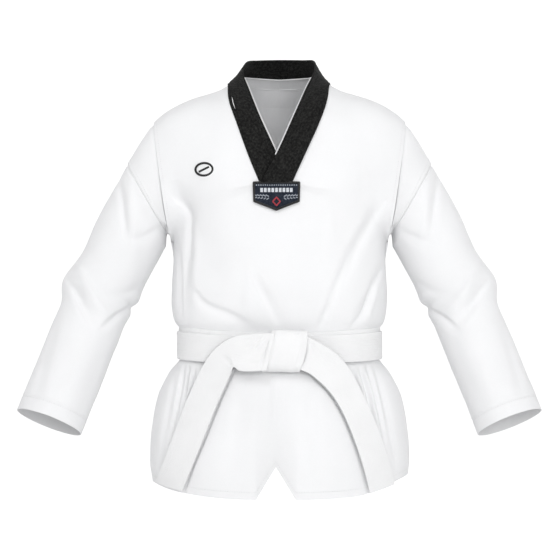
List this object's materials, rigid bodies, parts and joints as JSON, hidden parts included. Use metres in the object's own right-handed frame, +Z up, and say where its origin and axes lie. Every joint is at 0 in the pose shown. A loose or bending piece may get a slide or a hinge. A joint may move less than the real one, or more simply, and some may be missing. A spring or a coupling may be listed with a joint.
{
  "type": "martial arts jacket",
  "caption": "White pullover martial arts jacket with a dark V collar band, a shield patch, wide sleeves and a knotted cloth belt with hanging tails.",
  "frame": {"origin": "between the two points where the shoulder line meets the neck, on the jacket's middle line", "axes": "+Z up, -Y the way the wearer faces, +X towards the wearer's left"},
  "size_m": [0.9004, 0.298, 0.7585],
  "materials": {
    "white_cloth": "woven white cotton blend",
    "belt_cloth": "stitched white cotton strap",
    "dark_cloth": "black woven band",
    "navy_cloth": "dark navy twill",
    "grey_thread": "pale grey embroidery",
    "red_thread": "red embroidery"
  },
  "bodies": {
    "jacket": {"front_panel": "white_cloth", "back_panel": "white_cloth", "left_collar_band": "dark_cloth", "right_collar_band": "dark_cloth", "neck_piping": "white_cloth", "patch_backing": "navy_cloth", "patch_border": "dark_cloth", "patch_bar": "grey_thread", "patch_arch": "grey_thread", "patch_diamond": "red_thread", "emblem_ring": "dark_cloth", "emblem_bar": "dark_cloth", "belt_inner_wrap": "belt_cloth", "belt_outer_wrap": "belt_cloth", "belt_knot_core": "belt_cloth", "belt_knot_band": "belt_cloth", "left_belt_bight": "belt_cloth", "right_belt_bight": "belt_cloth"},
    "left_upper_sleeve": {"left_cap_panel": "white_cloth", "left_armhole_fabric": "white_cloth", "left_upper_sleeve_tube": "white_cloth"},
    "left_forearm_sleeve": {"left_elbow_fabric": "white_cloth", "left_forearm_sleeve_tube": "white_cloth", "left_cuff_band": "white_cloth"},
    "left_tail": {"left_belt_tail": "belt_cloth", "left_tail_tip": "belt_cloth"},
    "right_upper_sleeve": {"right_cap_panel": "white_cloth", "right_armhole_fabric": "white_cloth", "right_upper_sleeve_tube": "white_cloth"},
    "right_forearm_sleeve": {"right_elbow_fabric": "white_cloth", "right_forearm_sleeve_tube": "white_cloth", "right_cuff_band": "white_cloth"},
    "right_tail": {"right_belt_tail": "belt_cloth", "right_tail_tip": "belt_cloth"},
    "front_skirt": {"front_waist_fabric": "white_cloth", "front_skirt_panel": "white_cloth", "front_hem_band": "white_cloth"},
    "back_skirt": {"back_waist_fabric": "white_cloth", "back_skirt_panel": "white_cloth", "back_hem_band": "white_cloth"}
  },
  "joints": [
    {"name": "left_shoulder", "type": "hinge", "parent": "jacket", "child": "left_upper_sleeve", "pos_m": [0.25, 0.008, -0.235], "axis": [0, -1, 0], "range_deg": [-6, 58], "deforming": ["left_cap_panel", "left_armhole_fabric"]},
    {"name": "left_elbow", "type": "hinge", "parent": "left_upper_sleeve", "child": "left_forearm_sleeve", "pos_m": [0.31, 0.014, -0.352], "axis": [-0.8821, 0, -0.4711], "range_deg": [0, 76], "deforming": ["left_elbow_fabric"]},
    {"name": "right_shoulder", "type": "hinge", "parent": "jacket", "child": "right_upper_sleeve", "pos_m": [-0.25, 0.008, -0.235], "axis": [0, 1, 0], "range_deg": [-6, 58], "deforming": ["right_cap_panel", "right_armhole_fabric"]},
    {"name": "right_elbow", "type": "hinge", "parent": "right_upper_sleeve", "child": "right_forearm_sleeve", "pos_m": [-0.31, 0.014, -0.352], "axis": [-0.8821, 0, 0.4711], "range_deg": [0, 76], "deforming": ["right_elbow_fabric"]},
    {"name": "front_skirt_lift", "type": "hinge", "parent": "jacket", "child": "front_skirt", "pos_m": [0, -0.118, -0.478], "axis": [-1, 0, 0], "range_deg": [0, 38], "deforming": ["front_waist_fabric", "left_belt_bight", "right_belt_bight"]},
    {"name": "back_skirt_lift", "type": "hinge", "parent": "jacket", "child": "back_skirt", "pos_m": [0, 0.126, -0.478], "axis": [1, 0, 0], "range_deg": [0, 38], "deforming": ["back_waist_fabric"]},
    {"name": "left_tail_swing", "type": "hinge", "parent": "front_skirt", "child": "left_tail", "pos_m": [0.136, -0.116, -0.506], "axis": [-1, 0, 0], "range_deg": [0, 45], "deforming": ["left_belt_bight"]},
    {"name": "right_tail_swing", "type": "hinge", "parent": "front_skirt", "child": "right_tail", "pos_m": [-0.13, -0.116, -0.506], "axis": [-1, 0, 0], "range_deg": [0, 45], "deforming": ["right_belt_bight"]}
  ]
}
